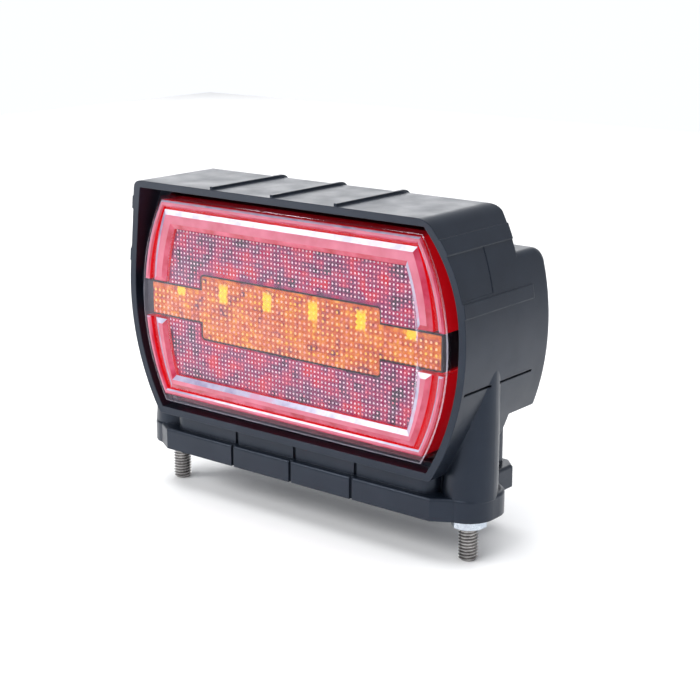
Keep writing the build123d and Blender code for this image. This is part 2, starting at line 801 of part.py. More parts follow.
def circuit_board():
    board = slab(grown(lens_cavity_face(), -BOARD_INSET), BOARD_FRONT, BOARD_FRONT + BOARD_T)
    for screw in board_screws():
        board -= screw
    return board


def on_board_back(x, z, width, height, thickness):
    back = BOARD_FRONT + BOARD_T
    return block(x - width / 2, x + width / 2, back, back + thickness, z - height / 2, z + height / 2)


def driver_parts():
    """Voltage regulator, coil, two capacitors and a row of ballast resistors."""
    back = BOARD_FRONT + BOARD_T
    regulator = on_board_back(CHIP_X, REGULATOR_Z, 6.5, 6.0, 1.8)
    coil = on_board_back(CHIP_X, COIL_Z, COIL_SIZE, COIL_SIZE, COIL_H)
    capacitors = [
        rod_y(x - CAPACITOR_X, CAPACITOR_Z, back, back + CAPACITOR_H, CAPACITOR_R)
        for x in (0, 2 * CAPACITOR_X)
    ]
    resistors = [
        on_board_back(RESISTOR_X + RESISTOR_PITCH * index, COIL_Z, 3.2, 1.6, 0.8)
        for index in range(RESISTOR_COUNT)
    ]
    return [regulator, coil] + capacitors + resistors


def header_block():
    return on_board_back(LEAD_EXIT_X, LEAD_EXIT_Z + HEADER_RISE, HEADER_W, HEADER_H, HEADER_DEPTH)


def wire_header():
    """Socket on the board that the lamp's lead plugs into, open at the back."""
    half_x = HEADER_W / 2 - HEADER_WALL
    half_z = HEADER_H / 2 - HEADER_WALL
    middle_z = LEAD_EXIT_Z + HEADER_RISE
    mouth = BOARD_FRONT + BOARD_T + HEADER_DEPTH
    socket = block(
        LEAD_EXIT_X - half_x,
        LEAD_EXIT_X + half_x,
        mouth - HEADER_DEPTH / 2,
        mouth + 1,
        middle_z - half_z,
        middle_z + half_z,
    )
    return header_block() - socket


def potting_block():
    """Sealing compound between the board and the floor of the shell."""
    inside = grown(shell_face(), -SHELL_WALL)
    block_of_resin = slab(inside, BOARD_FRONT + BOARD_T, SHELL_BACK - SHELL_FLOOR)
    for post in board_posts():
        block_of_resin -= post
    for part in driver_parts():
        block_of_resin -= part
    return block_of_resin - header_block()


def vent_plug():
    """Breather plug that lets the shell equalise its pressure."""
    cap = rod_y(VENT_X, VENT_Z, SHELL_BACK, SHELL_BACK + VENT_CAP_T, VENT_R)
    stem = rod_y(VENT_X, VENT_Z, SHELL_BACK - SHELL_FLOOR, SHELL_BACK, VENT_STEM_R)
    return cap + stem


def cable_gland():
    """Rubber grommet in the back of the neck, open for the lamp's lead."""
    wall_front = NECK_BACK - NECK_WALL
    plug_r = GLAND_NECK_R - GLAND_FIT
    body = rod_y(0, GLAND_Z, wall_front - GLAND_FLANGE_T, NECK_BACK + GLAND_FLANGE_T, plug_r)
    body += rod_y(0, GLAND_Z, wall_front - GLAND_FLANGE_T, wall_front, GLAND_INNER_FLANGE_R)
    body += rod_y(0, GLAND_Z, NECK_BACK, NECK_BACK + GLAND_FLANGE_T, GLAND_FLANGE_R)
    tail_front = NECK_BACK + GLAND_FLANGE_T
    body += rod_y(0, GLAND_Z, tail_front, tail_front + GLAND_TAIL, GLAND_TAIL_R_END, GLAND_TAIL_R)
    return body - rod_y(0, GLAND_Z, wall_front - 10, tail_front + 10, GLAND_BORE_R)


def write(name, shape):
    export_step(shape, "parts/" + name + ".step")


write("rubber_holder", rubber_holder())
write("anchor_plate", anchor_plate())
for side, word in ((-1, "left"), (1, "right")):
    write("stud_" + word, stud(side))
    write("lock_washer_" + word, lock_washer(side))
    write("nut_" + word, nut(side))
write("lens", lens())
write("lens_seal", lens_seal())
write("lamp_shell", lamp_shell())
for upper, word in ((True, "upper"), (False, "lower")):
    write("ring_guide_" + word, ring_guide(upper))
    write("frame_guide_" + word, frame_guide(upper))
    write("red_optic_" + word, red_optic(upper))
write("amber_optic", amber_optic())
write("light_baffle", light_baffle())
write("reflector_tray", reflector_tray())
write("circuit_board", circuit_board())
write("indicator_leds", as_group([led(place) for place in indicator_places()]))
write("stop_leds", as_group([led(place) for place in stop_places()]))
write("tail_leds", as_group([led(place) for place in tail_places()]))
write("driver_parts", as_group(driver_parts()))
write("wire_header", wire_header())
write("board_screws", as_group(board_screws()))
write("potting_block", potting_block())
write("vent_plug", vent_plug())
write("lead_grommet", lead_grommet())
write("threaded_spacers", as_group([threaded_spacer(side) for side in (-1, 1)]))
write("shell_screws", as_group([shell_screw(side) for side in (-1, 1)]))
write("screw_washers", as_group([screw_washer(side) for side in (-1, 1)]))
write("cable_gland", cable_gland())
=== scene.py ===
import math

import bmesh
import bpy
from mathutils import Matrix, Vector
from mathutils.bvhtree import BVHTree


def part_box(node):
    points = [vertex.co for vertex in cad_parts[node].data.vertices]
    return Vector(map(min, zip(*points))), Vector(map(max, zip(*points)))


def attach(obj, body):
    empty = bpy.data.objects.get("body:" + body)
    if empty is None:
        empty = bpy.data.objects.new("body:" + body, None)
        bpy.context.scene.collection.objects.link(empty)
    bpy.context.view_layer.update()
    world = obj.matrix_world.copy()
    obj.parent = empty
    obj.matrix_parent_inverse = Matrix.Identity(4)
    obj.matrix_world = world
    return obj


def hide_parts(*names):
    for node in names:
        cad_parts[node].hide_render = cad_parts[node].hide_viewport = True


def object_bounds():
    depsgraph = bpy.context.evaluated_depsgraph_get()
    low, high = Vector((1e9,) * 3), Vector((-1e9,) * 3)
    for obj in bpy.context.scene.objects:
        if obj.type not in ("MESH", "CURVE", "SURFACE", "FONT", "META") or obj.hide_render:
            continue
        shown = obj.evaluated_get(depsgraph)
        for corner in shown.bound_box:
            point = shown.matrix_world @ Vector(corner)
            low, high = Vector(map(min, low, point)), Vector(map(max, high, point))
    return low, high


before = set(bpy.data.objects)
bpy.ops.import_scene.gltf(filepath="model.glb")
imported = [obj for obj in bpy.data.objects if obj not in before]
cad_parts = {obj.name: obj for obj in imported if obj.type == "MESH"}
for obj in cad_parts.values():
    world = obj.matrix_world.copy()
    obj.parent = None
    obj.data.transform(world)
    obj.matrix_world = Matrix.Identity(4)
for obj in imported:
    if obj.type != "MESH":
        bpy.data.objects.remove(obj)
cad_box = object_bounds()
MM = 0.001

# ---- shapes: millimetres and degrees, unless a comment says otherwise ------------
RED_PITCH = 1.43
AMBER_PITCH = 1.83
DOME_RISE = 0.40
DOME_SIDES = 8
DOME_RINGS = ((1.0, 0.0), (0.52, 0.78))     # share of the radius, share of the rise
DOME_RADIUS = 0.46                          # share of the pitch
DOME_ROOM = 0.30                            # share of the pitch that the panel has to reach each way
PROBE_START = 10.0                          # in front of a panel
THREAD_MAJOR_R = 3.0
THREAD_ROOT_R = 2.387
THREAD_PITCH = 1.0
THREAD_PROFILE = (                          # share of the pitch, radius
    (0.0, THREAD_MAJOR_R),
    (0.125, THREAD_MAJOR_R),
    (0.44, THREAD_ROOT_R),
    (0.69, THREAD_ROOT_R),
)
THREAD_STEPS = 40
STUD_CHAMFER = 0.8
FRAME_SLOPE = (1.6, 0.8)                    # width, depth
RING_SLOPE = (0.55, 0.4)
COVER_EDGE = 0.5
COVER_EDGE_STEPS = 3
COVER_SIDE_SHARE = 0.8                      # share of the half width past which an edge is on a side
SHARP_ANGLE = 30
FLAT_ANGLE = 0.5
RIB_CREASE = 14
COVER_CREASE = 32
THREAD_CREASE = 25

# ---- tolerances, metres ----------------------------------------------------------
NEAR = 1e-5
WELD = 1e-6
THREAD_WELD = 2e-6

# ---- images of the indicator's light sources, millimetres ------------------------
INDICATOR_PITCH = 18.6
LED_MARK_HALF = 1.6
LED_MARK_EDGE = 0.3
LED_MARK_RISE = 5.4
LED_MARK_SHIFT = 1.2
LED_MARK_REACH = 3.6
LED_MARK_CORE = 0.6                         # share of the reach before the fade
LED_MARK_WOBBLE = 1.6

# ---- materials -------------------------------------------------------------------
NOISE_LOW, NOISE_HIGH = 0.3, 0.7            # most of a noise pattern's values lie between these
MIX_A, MIX_B, MIX_RESULT = 6, 7, 2          # colour sockets of a Mix node
COVER_HEAD_ON = 0.014                       # share reflected when seen square on
COVER_RIM = 0.75                            # share reflected at the grazing end
COVER_FALL = 3.0
COVER_SHEEN = (0.88, 0.84, 1.0)

# ---- studio: metres, degrees and watts -------------------------------------------
FLOOR_SIZE = 2.0
DARK_SIDE = (-0.62, -0.72, -0.30)
SKY_BRIGHT = 0.66
SKY_DARK = 0.06
SKY_FADE = (-0.2, 0.75)
SKY_TINT = (0.94, 0.96, 1.0)
BACKDROP = 1.05
SOFT_LIGHTS = {                             # place, aim, width and height, power
    "overhead_softbox": ((-0.05, 0.0, 0.85), (0.0, 0.0, 0.05), (0.9, 0.9), 8.0),
    "front_softbox": ((0.05, -0.9, 0.75), (0.0, 0.0, 0.05), (0.6, 0.4), 4.5),
    "back_panel": ((-0.85, 1.05, 0.42), (0.0, 0.0, 0.06), (1.3, 0.5), 3.4),
    "front_left_softbox": ((-0.75, -0.85, 0.72), (0.0, 0.0, 0.05), (0.5, 0.35), 6.0),
}
CAMERA_PLACE = (0.3068, -0.3655, 0.1678)
CAMERA_TURN = (75.09, 0.0, 38.66)
CAMERA_LENS = 80.3                          # mm
CAMERA_SENSOR = 36.0                        # mm
CAMERA_NEAR = 0.01


# ---- node trees ------------------------------------------------------------------
def add_node(tree, kind, inputs=(), **settings):
    """A new node with its settings; an input is a value or another node's output."""
    node = tree.nodes.new(kind)
    for name, value in settings.items():
        setattr(node, name, value)
    for socket, value in dict(inputs).items():
        if isinstance(value, bpy.types.NodeSocket):
            tree.links.new(value, node.inputs[socket])
        else:
            node.inputs[socket].default_value = value
    return node


class Finish:
    """One material's node tree, with short calls to add to it."""

    def __init__(self, name, **shader):
        self.material = bpy.data.materials.new(name)
        self.material.use_nodes = True
        self.tree = self.material.node_tree
        self.shader = self.tree.nodes["Principled BSDF"]
        self.output = self.tree.nodes["Material Output"]
        for socket, value in shader.items():
            self.shader.inputs[socket.replace("_", " ")].default_value = value
        self.place = self.add("ShaderNodeTexCoord").outputs["Object"]

    def add(self, kind, inputs=(), **settings):
        return add_node(self.tree, kind, inputs, **settings)

    def feed(self, socket, value):
        """Link value to a socket of the surface shader."""
        self.tree.links.new(value, self.shader.inputs[socket])

    def noise(self, size_mm, detail, place=None):
        """Noise whose patches are about size_mm across, from 0 to 1."""
        inputs = {"Vector": place or self.place, "Scale": 1 / (size_mm * MM), "Detail": detail}
        return self.add("ShaderNodeTexNoise", inputs).outputs["Fac"]

    def maths(self, operation, a, b=0.0):
        return self.add("ShaderNodeMath", {0: a, 1: b}, operation=operation).outputs[0]

    def scaled(self, value, low, high, to_low=0.0, to_high=1.0):
        """value with the range low to high moved to the range to_low to to_high."""
        inputs = {"Value": value, "From Min": low, "From Max": high, "To Min": to_low, "To Max": to_high}
        return self.add("ShaderNodeMapRange", inputs).outputs["Result"]

    def ramp(self, value, *stops):
        """A colour along value; each stop is (position, (r, g, b))."""
        node = self.add("ShaderNodeValToRGB", {"Fac": value})
        elements = node.color_ramp.elements
        while len(elements) < len(stops):
            elements.new(0.5)
        for element, (position, colour) in zip(elements, stops):
            element.position = position
            element.color = (*colour, 1.0)
        return node.outputs["Color"]

    def tones(self, noise, dark, light):
        """A colour between dark and light that follows the noise."""
        return self.ramp(noise, (NOISE_LOW, dark), (NOISE_HIGH, light))

    def mix(self, factor, a, b):
        """Colour a where factor is 0 and colour b where it is 1."""
        colours = [value if isinstance(value, bpy.types.NodeSocket) else (*value, 1.0) for value in (a, b)]
        inputs = {0: factor, MIX_A: colours[0], MIX_B: colours[1]}
        return self.add("ShaderNodeMix", inputs, data_type="RGBA").outputs[MIX_RESULT]

    def gloss(self, size_mm, detail, smooth, rough):
        """Roughness that varies between smooth and rough in patches of size_mm."""
        noise = self.noise(size_mm, detail)
        self.feed("Roughness", self.scaled(noise, NOISE_LOW, NOISE_HIGH, smooth, rough))

    def grain(self, size_mm, depth_mm, edge_mm=0.0, detail=2.0):
        """Surface grain as bump, on edges that look rounded by edge_mm."""
        inputs = {"Height": self.noise(size_mm, detail), "Distance": depth_mm * MM, "Strength": 1.0}
        if edge_mm:
            inputs["Normal"] = self.add("ShaderNodeBevel", {"Radius": edge_mm * MM}).outputs[0]
        self.feed("Normal", self.add("ShaderNodeBump", inputs).outputs[0])

    def normal_parts(self):
        """The X, Y and Z of the face's own direction."""
        normal = self.add("ShaderNodeNewGeometry").outputs["True Normal"]
        return self.add("ShaderNodeSeparateXYZ", {0: normal}).outputs


# ---- materials -------------------------------------------------------------------
def rubber(name, dark, light, smooth, rough):
    """Moulded rubber: near black, satin, with fine grain and faint clouding."""
    finish = Finish(name, Specular_IOR_Level=0.45, Specular_Tint=(0.70, 0.80, 1.0, 1.0))
    finish.feed("Base Color", finish.tones(finish.noise(14.0, 4.0), dark, light))
    finish.gloss(9.0, 5.0, smooth, rough)
    finish.grain(0.35, 0.012, edge_mm=0.45, detail=3.0)
    return finish.material


def metal(name, dark, light, smooth, rough, edge_mm=0.15):
    """Plated or turned metal with faint streaks."""
    finish = Finish(name, Metallic=1.0)
    finish.feed("Base Color", finish.tones(finish.noise(1.6, 4.0), dark, light))
    finish.gloss(0.5, 3.0, smooth, rough)
    finish.grain(0.25, 0.004, edge_mm)
    return finish.material


def plastic(name, dark, light, smooth, rough, patch_mm=6.0):
    """Moulded plastic or laminate."""
    finish = Finish(name)
    finish.feed("Base Color", finish.tones(finish.noise(patch_mm, 3.0), dark, light))
    finish.gloss(2.0, 3.0, smooth, rough)
    finish.grain(0.5, 0.004, edge_mm=0.15)
    return finish.material


def red_rib_painted_sheen_and_glow():
    """Red light guide: its own red, with a painted pinkish reflection where it faces forward and a painted
    red glow on its flanks.
    """
    # Painted glow: the emission makes the flanks shine red, standing in for light carried through the guide.
    finish = Finish("red_rib_painted_sheen_and_glow", Coat_Weight=1.0, Coat_Roughness=0.02, Emission_Strength=0.35)
    facing = finish.scaled(finish.normal_parts()["Y"], -0.6, -0.98)
    streaks = finish.noise(9.0, 3.0)
    # front: its own red with a painted pinkish reflection of the softbox; flank: its own deep red.
    front = finish.tones(streaks, (0.46, 0.060, 0.115), (0.60, 0.125, 0.21))
    flank = finish.tones(streaks, (0.42, 0.004, 0.008), (0.60, 0.008, 0.014))
    finish.feed("Base Color", finish.mix(facing, flank, front))
    # The painted glow is fed where the guide turns away from the front.
    finish.feed("Emission Color", finish.mix(facing, (0.85, 0.004, 0.010), (0.0, 0.0, 0.0)))
    finish.gloss(3.0, 3.0, 0.10, 0.22)
    finish.grain(1.2, 0.004)
    return finish.material


def rib_slope_painted_reflection():
    """Polished slope round a rib, with a painted reflection: bright lavender where it faces up or left,
    standing in for the softboxes seen in it, and its own red where it faces right.
    """
    finish = Finish("rib_slope_painted_reflection", Coat_Weight=0.3, Coat_Roughness=0.08)
    parts = finish.normal_parts()
    # Painted reflection: the more the slope faces up or left, the more it takes the bright colour.
    share = finish.scaled(finish.maths("SUBTRACT", parts["Z"], parts["X"]), -0.2, 0.25)
    patches = finish.noise(7.0, 3.0)
    red = finish.tones(patches, (0.40, 0.008, 0.030), (0.62, 0.090, 0.17))
    # bright holds the painted reflection colours, not a colour of the plastic.
    bright = finish.ramp(
        patches,
        (0.35, (0.29, 0.26, 0.40)),
        (0.50, (0.42, 0.40, 0.54)),
        (0.65, (0.50, 0.27, 0.40)),
    )
    finish.feed("Base Color", finish.mix(share, red, bright))
    finish.gloss(1.5, 2.0, 0.06, 0.16)
    return finish.material


def clear(name, tint, roughness, extra=0.0):
    """Clear plastic: see-through, with a reflection that grows towards the rim."""
    finish = Finish(name)
    finish.tree.nodes.remove(finish.shader)
    smear = finish.scaled(finish.noise(12.0, 3.0), NOISE_LOW, NOISE_HIGH, roughness, roughness * 2)
    see_through = finish.add("ShaderNodeBsdfTransparent", {"Color": (*tint, 1.0)})
    sheen = finish.add("ShaderNodeBsdfGlossy", {"Color": (*COVER_SHEEN, 1.0), "Roughness": smear})
    facing = finish.add("ShaderNodeLayerWeight", {"Blend": 0.5}).outputs["Facing"]
    fall = finish.maths("POWER", facing, COVER_FALL)
    share = finish.scaled(fall, 0.0, 1.0, COVER_HEAD_ON + extra, COVER_RIM)
    mixed = finish.add("ShaderNodeMixShader", {0: share, 1: see_through.outputs[0], 2: sheen.outputs[0]})
    finish.tree.links.new(mixed.outputs[0], finish.output.inputs["Surface"])
    return finish.material


def lenslet_place(finish, pitch_mm):
    """A point's lenslet centre, so that a pattern read there is the same all over one lenslet."""
    step = (pitch_mm * MM,) * 3
    half = finish.add("ShaderNodeVectorMath", {0: finish.place, 1: tuple(0.5 * x for x in step)})
    return finish.add("ShaderNodeVectorMath", {0: half.outputs[0], 1: step}, operation="SNAP").outputs[0]


def blend(finish, first, second, share):
    """The sum of two patterns: share of the first, and the rest of the second."""
    rest = finish.maths("MULTIPLY", second, 1 - share)
    return finish.maths("ADD", finish.maths("MULTIPLY", first, share), rest)


def red_field():
    """Red panel between the bright tips: patches of crimson, magenta, purple and near black."""
    finish = Finish("red_field", Coat_Weight=0.3, Coat_Roughness=0.05, Specular_IOR_Level=0.3)
    near = finish.noise(4.0, 1.0, lenslet_place(finish, RED_PITCH))
    finish.feed("Base Color", finish.ramp(
        blend(finish, finish.noise(16.0, 2.0), near, 0.5),
        (0.36, (0.045, 0.014, 0.040)),
        (0.43, (0.150, 0.018, 0.090)),
        (0.49, (0.260, 0.014, 0.095)),
        (0.56, (0.400, 0.010, 0.075)),
        (0.64, (0.540, 0.008, 0.030)),
    ))
    finish.gloss(3.0, 2.0, 0.2, 0.35)
    return finish.material


def red_tip_painted_highlight():
    """Painted highlight on the tip of a red lenslet: whitish, pink or red from one to the next, standing in
    for the softbox's glint on each dome.
    """
    finish = Finish("red_tip_painted_highlight", Coat_Weight=0.5, Coat_Roughness=0.04)
    finish.feed("Base Color", finish.ramp(
        finish.noise(3.0, 1.0, lenslet_place(finish, RED_PITCH)),
        (0.34, (0.60, 0.46, 0.58)),
        (0.50, (0.92, 0.66, 0.76)),
        (0.66, (0.90, 0.26, 0.34)),
    ))
    finish.gloss(1.0, 1.0, 0.12, 0.22)
    return finish.material


def led_marks(finish):
    """1 in the ragged upright images of the indicator's light sources, and 0 between them."""
    low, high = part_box("indicator_leds")
    middle_z = (low.z + high.z) / 2 + LED_MARK_RISE * MM
    pitch = INDICATOR_PITCH * MM
    ragged = finish.maths("SUBTRACT", finish.noise(0.8, 1.0), 0.5)
    wobble = finish.maths("MULTIPLY", ragged, LED_MARK_WOBBLE * MM)
    parts = finish.add("ShaderNodeSeparateXYZ", {0: finish.place}).outputs
    shifted = finish.maths("ADD", parts["X"], finish.maths("SUBTRACT", wobble, LED_MARK_SHIFT * MM))
    along = finish.add("ShaderNodeMath", {0: shifted, 1: pitch, 2: 0.0}, operation="WRAP").outputs[0]
    aside = finish.maths("ABSOLUTE", finish.maths("SUBTRACT", along, pitch / 2))
    across = finish.scaled(aside, (LED_MARK_HALF + LED_MARK_EDGE) * MM, LED_MARK_HALF * MM)
    above = finish.maths("SUBTRACT", finish.maths("ADD", parts["Z"], wobble), middle_z)
    reach = LED_MARK_REACH * MM
    height = finish.scaled(finish.maths("ABSOLUTE", above), reach, LED_MARK_CORE * reach)
    return finish.maths("MULTIPLY", across, height)


def amber_field():
    """Amber panel between the bright tips."""
    finish = Finish("amber_field", Coat_Weight=0.3, Coat_Roughness=0.05, Specular_IOR_Level=0.3)
    near = finish.noise(4.0, 2.0, lenslet_place(finish, AMBER_PITCH))
    colours = finish.ramp(
        blend(finish, near, finish.noise(1.4, 2.0), 0.6),
        (0.34, (0.12, 0.016, 0.034)),
        (0.41, (0.42, 0.060, 0.025)),
        (0.48, (0.54, 0.090, 0.006)),
        (0.58, (0.64, 0.165, 0.003)),
        (0.66, (0.72, 0.300, 0.004)),
    )
    finish.feed("Base Color", finish.mix(led_marks(finish), colours, (1.0, 0.56, 0.006)))
    finish.gloss(3.0, 2.0, 0.2, 0.35)
    return finish.material


def amber_tip_painted_highlight():
    """Painted highlight on the tip of an amber lenslet, yellower over the images of the light sources."""
    finish = Finish("amber_tip_painted_highlight", Coat_Weight=0.5, Coat_Roughness=0.04)
    colours = finish.ramp(
        finish.noise(3.5, 1.0, lenslet_place(finish, AMBER_PITCH)),
        (0.34, (0.85, 0.36, 0.28)),
        (0.50, (0.90, 0.54, 0.32)),
        (0.66, (0.90, 0.54, 0.10)),
    )
    finish.feed("Base Color", finish.mix(led_marks(finish), colours, (1.0, 0.76, 0.05)))
    finish.gloss(1.0, 1.0, 0.12, 0.22)
    return finish.material


def floor_finish():
    """Plain pale floor."""
    finish = Finish("pale_floor", Specular_IOR_Level=0.2)
    finish.feed("Base Color", finish.tones(finish.noise(40.0, 3.0), (0.94, 0.94, 0.94), (0.97, 0.97, 0.97)))
    finish.gloss(15.0, 3.0, 0.6, 0.75)
    finish.grain(1.5, 0.01)
    return finish.material


RUBBER = rubber("holder_rubber", (0.0040, 0.0065, 0.0120), (0.008, 0.012, 0.020), 0.28, 0.40)
SOFT_RUBBER = rubber("gland_rubber", (0.012, 0.012, 0.013), (0.020, 0.020, 0.022), 0.5, 0.65)
ZINC = metal("bright_zinc", (0.42, 0.47, 0.54), (0.60, 0.66, 0.72), 0.16, 0.32)
DULL_ZINC = metal("dull_zinc", (0.42, 0.43, 0.44), (0.56, 0.57, 0.58), 0.3, 0.5)
STEEL = metal("stainless_steel", (0.26, 0.25, 0.25), (0.44, 0.43, 0.42), 0.14, 0.28, edge_mm=0.0)
BRASS = metal("spacer_brass", (0.58, 0.42, 0.17), (0.72, 0.54, 0.26), 0.25, 0.4)
TRAY = metal("metallised_tray", (0.62, 0.62, 0.64), (0.78, 0.78, 0.80), 0.12, 0.25)
SHELL = plastic("shell_black", (0.010, 0.010, 0.011), (0.018, 0.018, 0.020), 0.35, 0.5)
BAFFLE = plastic("baffle_black", (0.006, 0.005, 0.005), (0.012, 0.010, 0.010), 0.5, 0.7)
BOARD = plastic("board_laminate", (0.62, 0.63, 0.60), (0.74, 0.75, 0.72), 0.35, 0.5)
LED_BODY = plastic("led_body", (0.80, 0.72, 0.30), (0.88, 0.82, 0.45), 0.3, 0.4, patch_mm=1.0)
COMPONENT = plastic("component_black", (0.012, 0.012, 0.012), (0.03, 0.03, 0.03), 0.4, 0.6)
HEADER = plastic("header_plastic", (0.70, 0.68, 0.60), (0.80, 0.78, 0.70), 0.4, 0.5)
RESIN = plastic("potting_resin", (0.02, 0.02, 0.022), (0.035, 0.035, 0.04), 0.12, 0.25)
RED_FIELD = red_field()
RED_TIP_PAINTED_HIGHLIGHT = red_tip_painted_highlight()
AMBER_FIELD = amber_field()
AMBER_TIP_PAINTED_HIGHLIGHT = amber_tip_painted_highlight()
RED_RIB_PAINTED_SHEEN_AND_GLOW = red_rib_painted_sheen_and_glow()
RIB_SLOPE_PAINTED_REFLECTION = rib_slope_painted_reflection()
COVER = clear("clear_cover", (1.0, 0.985, 0.99), 0.015)
COVER_ROUND = clear("clear_cover_edge", (0.96, 0.96, 0.97), 0.05, extra=0.25)

finishes = {
    "rubber_holder": RUBBER,
    "anchor_plate": DULL_ZINC,
    "lens_seal": SOFT_RUBBER,
    "lamp_shell": SHELL,
    "light_baffle": BAFFLE,
    "reflector_tray": TRAY,
    "circuit_board": BOARD,
    "indicator_leds": LED_BODY,
    "stop_leds": LED_BODY,
    "tail_leds": LED_BODY,
    "driver_parts": COMPONENT,
    "wire_header": HEADER,
    "board_screws": ZINC,
    "potting_block": RESIN,
    "vent_plug": SOFT_RUBBER,
    "lead_grommet": SOFT_RUBBER,
    "threaded_spacers": BRASS,
    "shell_screws": STEEL,
    "screw_washers": STEEL,
    "cable_gland": SOFT_RUBBER,
    "nut_left": ZINC,
    "nut_right": ZINC,
    "lock_washer_left": ZINC,
    "lock_washer_right": ZINC,
    "red_optic_upper": RED_FIELD,
    "red_optic_lower": RED_FIELD,
    "amber_optic": AMBER_FIELD,
}
for node, material in finishes.items():
    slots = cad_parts[node].data.materials
    slots.clear()
    slots.append(material)


# ---- pieces ----------------------------------------------------------------------
def new_piece(name, shape, materials, replaced=()):
    """A mesh object from a bmesh, riding on the lamp's root body."""
    mesh = bpy.data.meshes.new(name)
    shape.to_mesh(mesh)
    shape.free()
    piece = bpy.data.objects.new(name, mesh)
    bpy.context.scene.collection.objects.link(piece)
    for material in materials:
        mesh.materials.append(material)
    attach(piece, "root")
    if replaced:
        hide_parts(*replaced)


def soften(shape, degrees):
    """Smooth shading with crisp lines at edges sharper than degrees."""
    for face in shape.faces:
        face.smooth = True
    for edge in shape.edges:
        edge.smooth = not (edge.is_manifold and edge.calc_face_angle(0) > math.radians(degrees))


def cad_shape(node):
    """The CAD node as a bmesh with its flat faces merged."""
    shape = bmesh.new()
    shape.from_mesh(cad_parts[node].data)
    bmesh.ops.remove_doubles(shape, verts=shape.verts, dist=WELD)
    bmesh.ops.dissolve_limit(
        shape, angle_limit=math.radians(FLAT_ANGLE), verts=shape.verts, edges=shape.edges,
    )
    shape.normal_update()
    return shape


def in_front_plane(element, depth):
    """Whether all the corners of a face or an edge lie in the plane y = depth."""
    return all(abs(vert.co.y - depth) < NEAR for vert in element.verts)


def middle_of(edge):
    return sum((vert.co for vert in edge.verts), Vector()) / 2


def flank_of(edge):
    """The face beside a front edge that runs back from it."""
    return min(edge.link_faces, key=lambda face: abs(face.normal.y))


def on_rim(edge, low, high):
    """Whether a sharp front edge belongs to the outline of the cover: its top, bottom or sides."""
    if not (edge.is_manifold and edge.calc_face_angle(0) > math.radians(SHARP_ANGLE)):
        return False
    flank = flank_of(edge)
    middle = middle_of(edge)
    inward = abs(flank.normal.y) < 0.5 and flank.normal.dot(middle - (low + high) / 2) < 0
    level = middle.z > high.z - NEAR or middle.z < low.z + NEAR
    outer = abs(middle.x) > COVER_SIDE_SHARE * (high.x - low.x) / 2
    return not inward and (level or (outer and abs(flank.normal.x) > 0.5))


def rib(name, node, slope_mm):
    """A light guide rib whose front falls away in a polished slope all round."""
    front_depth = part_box(node)[0].y
    width, depth = slope_mm
    shape = cad_shape(node)
    front = [face for face in shape.faces if in_front_plane(face, front_depth)]
    inset = bmesh.ops.inset_region(shape, faces=front, thickness=width * MM, depth=0.0, use_even_offset=True)
    flat = {vert for face in front for vert in face.verts}
    border = {vert for face in inset["faces"] for vert in face.verts} - flat
    # The slope faces take the second material, with its painted reflection.
    for face in inset["faces"]:
        face.material_index = 1
    for vert in border:
        vert.co.y += depth * MM
    shape.normal_update()
    soften(shape, RIB_CREASE)
    new_piece(name, shape, [RED_RIB_PAINTED_SHEEN_AND_GLOW, RIB_SLOPE_PAINTED_REFLECTION], [node])


def cover():
    """The clear cover with a rounded front edge."""
    low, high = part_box("lens")
    shape = cad_shape("lens")
    outline = [edge for edge in shape.edges if in_front_plane(edge, low.y) and on_rim(edge, low, high)]
    bmesh.ops.bevel(
        shape, geom=outline, offset=COVER_EDGE * MM, offset_type="OFFSET", segments=COVER_EDGE_STEPS,
        profile=0.5, affect="EDGES", clamp_overlap=False, material=1,
    )
    soften(shape, COVER_CREASE)
    new_piece("cover_lens", shape, [COVER, COVER_ROUND], ["lens"])


def add_dome(shape, x, z, y_base, radius):
    """A shallow dome that stands forward of y_base, with a cap in the second material, which carries the
    painted highlight.
    """
    rise = DOME_RISE * MM
    rings = []
    for share, height in DOME_RINGS:
        ring = []
        for step in range(DOME_SIDES):
            angle = 2 * math.pi * (step + 0.5) / DOME_SIDES
            across, up = share * radius * math.cos(angle), share * radius * math.sin(angle)
            ring.append(shape.verts.new((x + across, y_base - height * rise, z + up)))
        rings.append(ring)
    apex = shape.verts.new((x, y_base - rise, z))
    outer, inner = rings
    for step in range(DOME_SIDES):
        after = (step + 1) % DOME_SIDES
        shape.faces.new((outer[step], outer[after], inner[after], inner[step]))
        shape.faces.new((inner[step], inner[after], apex)).material_index = 1


def covered(panel_tree, front_depth, x, z):
    """Whether the panel's front face reaches the point (x, z)."""
    start = Vector((x, front_depth - PROBE_START * MM, z))
    hit = panel_tree.ray_cast(start, Vector((0, 1, 0)))[0]
    return hit is not None and abs(hit.y - front_depth) < NEAR


def lenslet_panel(name, nodes, pitch_mm, materials):
    """Domes in a square grid over every place where the CAD panels' front faces reach."""
    shape = bmesh.new()
    pitch = pitch_mm * MM
    room = DOME_ROOM * pitch
    for node in nodes:
        low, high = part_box(node)
        panel = cad_shape(node)
        tree = BVHTree.FromBMesh(panel)
        for column in range(math.ceil(low.x / pitch), math.floor(high.x / pitch) + 1):
            for row in range(math.ceil(low.z / pitch), math.floor(high.z / pitch) + 1):
                x, z = column * pitch, row * pitch
                corners = [(x + a * room, z + b * room) for a in (-1, 1) for b in (-1, 1)]
                if all(covered(tree, low.y, *corner) for corner in corners):
                    add_dome(shape, x, z, low.y, DOME_RADIUS * pitch)
        panel.free()
    shape.normal_update()
    for face in shape.faces:
        face.smooth = True
    new_piece(name, shape, materials)


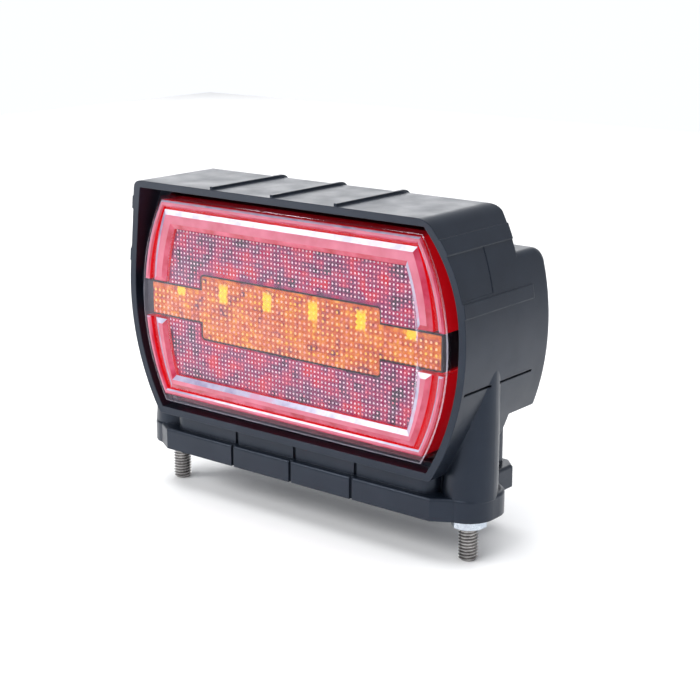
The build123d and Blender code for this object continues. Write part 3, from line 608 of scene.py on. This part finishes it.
def threaded_stud(name, node):
    """The mounting stud with a real helical thread below the foot, and a chamfered end."""
    low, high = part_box(node)
    centre_x = (low.x + high.x) / 2
    bottom, top = low.z, 0.0
    pitch = THREAD_PITCH * MM
    shape = bmesh.new()
    rows = []
    for turn in range(math.ceil((top - bottom) / pitch) + 2):
        for share, radius in THREAD_PROFILE:
            row = []
            for step in range(THREAD_STEPS + 1):
                angle = 2 * math.pi * step / THREAD_STEPS
                z = bottom - pitch + (turn + share + step / THREAD_STEPS) * pitch
                held = min(max(z, bottom), top)
                limit = THREAD_MAJOR_R * MM - max(0.0, STUD_CHAMFER * MM - (held - bottom))
                r = min(radius * MM, limit)
                row.append(shape.verts.new((centre_x + r * math.cos(angle), r * math.sin(angle), held)))
            rows.append(row)
    for lower, upper in zip(rows, rows[1:]):
        for step in range(THREAD_STEPS):
            shape.faces.new((lower[step], lower[step + 1], upper[step + 1], upper[step]))
    bmesh.ops.remove_doubles(shape, verts=shape.verts, dist=THREAD_WELD)
    bmesh.ops.dissolve_degenerate(shape, edges=shape.edges, dist=WELD)
    end_ring = [
        edge for edge in shape.edges
        if edge.is_boundary and all(abs(vert.co.z - bottom) < WELD for vert in edge.verts)
    ]
    if end_ring:
        bmesh.ops.contextual_create(shape, geom=end_ring)
    bmesh.ops.recalc_face_normals(shape, faces=shape.faces)
    soften(shape, THREAD_CREASE)
    new_piece(name, shape, [STEEL], [node])


rib("outer_rib_upper", "ring_guide_upper", RING_SLOPE)
rib("outer_rib_lower", "ring_guide_lower", RING_SLOPE)
rib("inner_rib_upper", "frame_guide_upper", FRAME_SLOPE)
rib("inner_rib_lower", "frame_guide_lower", FRAME_SLOPE)
cover()
lenslet_panel(
    "red_lenslets", ["red_optic_upper", "red_optic_lower"], RED_PITCH, [RED_FIELD, RED_TIP_PAINTED_HIGHLIGHT],
)
lenslet_panel("amber_lenslets", ["amber_optic"], AMBER_PITCH, [AMBER_FIELD, AMBER_TIP_PAINTED_HIGHLIGHT])
for side in ("left", "right"):
    threaded_stud("threaded_stud_" + side, "stud_" + side)

# ---- floor, light and camera -----------------------------------------------------
bpy.ops.mesh.primitive_plane_add(size=FLOOR_SIZE, location=(0, 0, cad_box[0][2]))
floor = bpy.context.object
floor.name = "floor"
floor.data.materials.append(floor_finish())


def studio_sky():
    """A white backdrop behind and above the lamp; its light falls off towards the front left."""
    world = bpy.data.worlds.new("studio")
    world.use_nodes = True
    bpy.context.scene.world = world
    sky = world.node_tree
    direction = add_node(sky, "ShaderNodeTexCoord").outputs["Generated"]
    along = add_node(sky, "ShaderNodeVectorMath", {0: direction, 1: DARK_SIDE}, operation="DOT_PRODUCT")
    level = add_node(sky, "ShaderNodeMapRange", {
        "Value": along.outputs["Value"],
        "From Min": SKY_FADE[0],
        "From Max": SKY_FADE[1],
        "To Min": SKY_BRIGHT,
        "To Max": SKY_DARK,
    }, interpolation_type="SMOOTHSTEP")
    seen = add_node(sky, "ShaderNodeLightPath").outputs["Is Camera Ray"]
    strength = add_node(sky, "ShaderNodeMix", {0: seen, 2: level.outputs["Result"], 3: BACKDROP})
    background = sky.nodes["Background"]
    background.inputs["Color"].default_value = (*SKY_TINT, 1.0)
    sky.links.new(strength.outputs[0], background.inputs["Strength"])


def soft_light(name, place, aim, size, power):
    """A rectangular area light at place, turned to aim."""
    data = bpy.data.lights.new(name, "AREA")
    data.shape = "RECTANGLE"
    data.size, data.size_y = size
    data.energy = power
    lamp = bpy.data.objects.new(name, data)
    bpy.context.scene.collection.objects.link(lamp)
    lamp.visible_camera = False
    lamp.location = place
    lamp.rotation_euler = (Vector(aim) - Vector(place)).to_track_quat("-Z", "Y").to_euler()


studio_sky()
for name, (place, aim, size, power) in SOFT_LIGHTS.items():
    soft_light(name, place, aim, size, power)

camera_data = bpy.data.cameras.new("camera")
camera_data.lens = CAMERA_LENS
camera_data.sensor_width = CAMERA_SENSOR
camera_data.clip_start = CAMERA_NEAR
camera = bpy.data.objects.new("camera", camera_data)
bpy.context.scene.collection.objects.link(camera)
camera.location = CAMERA_PLACE
camera.rotation_euler = [math.radians(turn) for turn in CAMERA_TURN]
bpy.context.scene.camera = camera
bpy.context.scene.view_settings.view_transform = "Standard"
